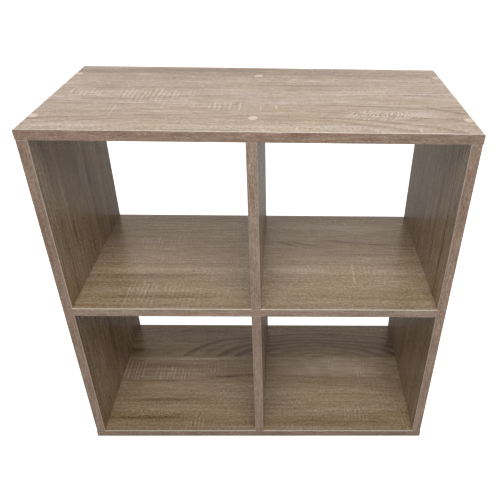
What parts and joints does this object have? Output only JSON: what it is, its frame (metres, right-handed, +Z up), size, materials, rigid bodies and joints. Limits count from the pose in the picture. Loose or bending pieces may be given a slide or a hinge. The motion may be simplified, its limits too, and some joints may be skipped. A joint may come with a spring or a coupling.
{
  "type": "cube storage unit",
  "caption": "Open-backed cube storage unit: edge-banded wood-grain boards form square compartments, side by side and stacked, with round caps over the screws.",
  "frame": {"origin": "centre of the footprint, on the underside of the bottom panel, where the unit stands on the floor", "axes": "+Z up; +X to the right for a person facing the open front; -Y is the front and +Y the back"},
  "size_m": [0.611, 0.298, 0.6105],
  "materials": {
    "board_decor": "satin",
    "edge_band": "satin",
    "cover_cap": "matte",
    "zinc_screw": "satin",
    "beech_dowel": "matte"
  },
  "bodies": {
    "root": {"top_panel": "board_decor", "bottom_panel": "board_decor", "left_side_panel": "board_decor", "right_side_panel": "board_decor", "middle_shelf": "board_decor", "upper_divider": "board_decor", "lower_divider": "board_decor", "top_front_band": "edge_band", "top_back_band": "edge_band", "top_left_band": "edge_band", "top_right_band": "edge_band", "bottom_front_band": "edge_band", "bottom_back_band": "edge_band", "bottom_left_band": "edge_band", "bottom_right_band": "edge_band", "left_side_front_band": "edge_band", "left_side_back_band": "edge_band", "right_side_front_band": "edge_band", "right_side_back_band": "edge_band", "shelf_front_band": "edge_band", "shelf_back_band": "edge_band", "upper_divider_front_band": "edge_band", "upper_divider_back_band": "edge_band", "lower_divider_front_band": "edge_band", "lower_divider_back_band": "edge_band", "top_screws": "zinc_screw", "bottom_screws": "zinc_screw", "shelf_screws": "zinc_screw", "divider_screws": "zinc_screw", "top_dowels": "beech_dowel", "bottom_dowels": "beech_dowel", "shelf_dowels": "beech_dowel", "divider_dowels": "beech_dowel", "top_cover_caps": "cover_cap", "side_cover_caps": "cover_cap"}
  },
  "joints": []
}
